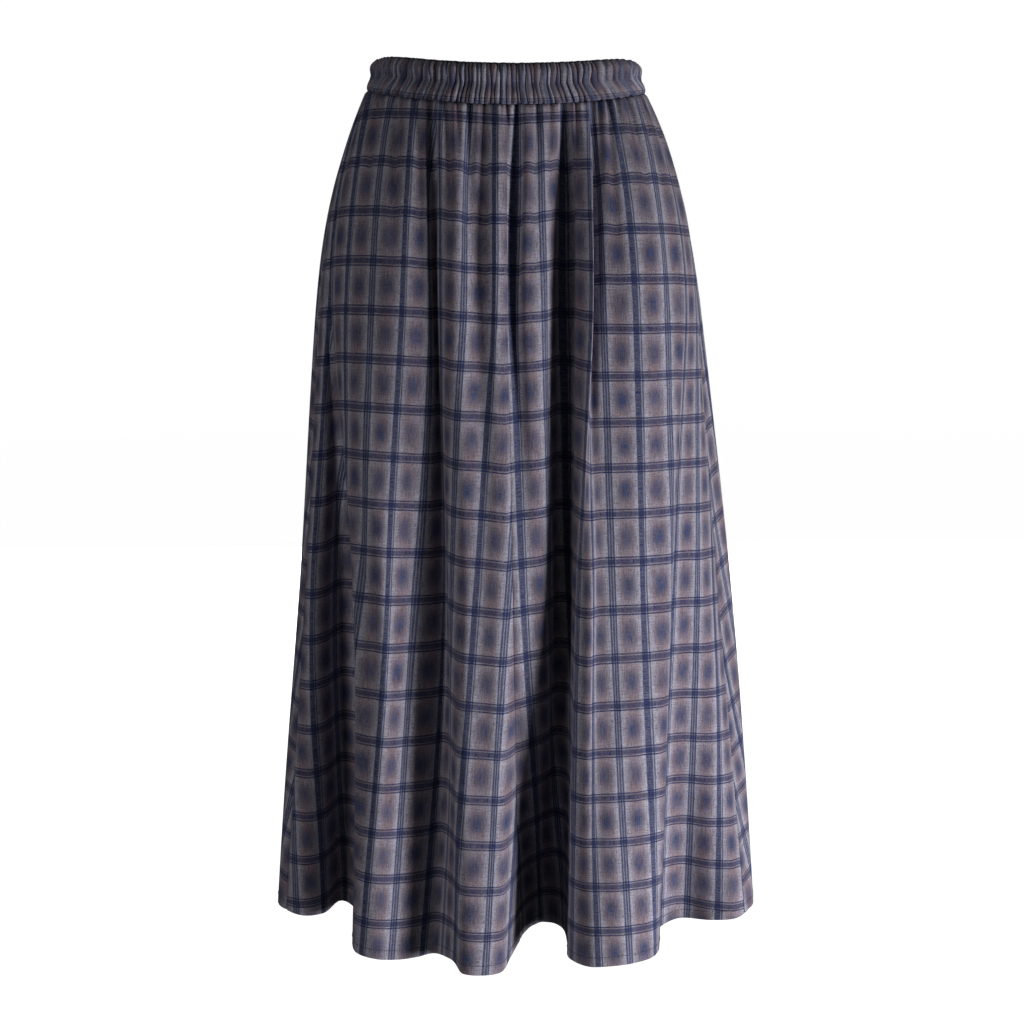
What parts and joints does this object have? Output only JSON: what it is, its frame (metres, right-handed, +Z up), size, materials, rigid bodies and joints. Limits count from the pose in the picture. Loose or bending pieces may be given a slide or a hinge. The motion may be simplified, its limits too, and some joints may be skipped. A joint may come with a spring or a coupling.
{
  "type": "maxi skirt",
  "caption": "Gathered, flared maxi skirt in checked cloth on an elastic waistband, filled out as worn, open at waist and hem.",
  "frame": {"origin": "centre of the waistband at half its height, where the wearer's waist holds it", "axes": "+Z up the wearer's body, -Y towards the front, +X towards the wearer's left"},
  "size_m": [0.497, 0.3049, 0.8806],
  "materials": {
    "plaid_cloth": "soft brushed plain weave with a shadow check",
    "plaid_waistband": "the same cloth gathered over elastic"
  },
  "bodies": {
    "root": {"right_front_panel": "plaid_cloth", "left_front_panel": "plaid_cloth", "back_panel": "plaid_cloth", "waistband": "plaid_waistband"}
  },
  "joints": []
}
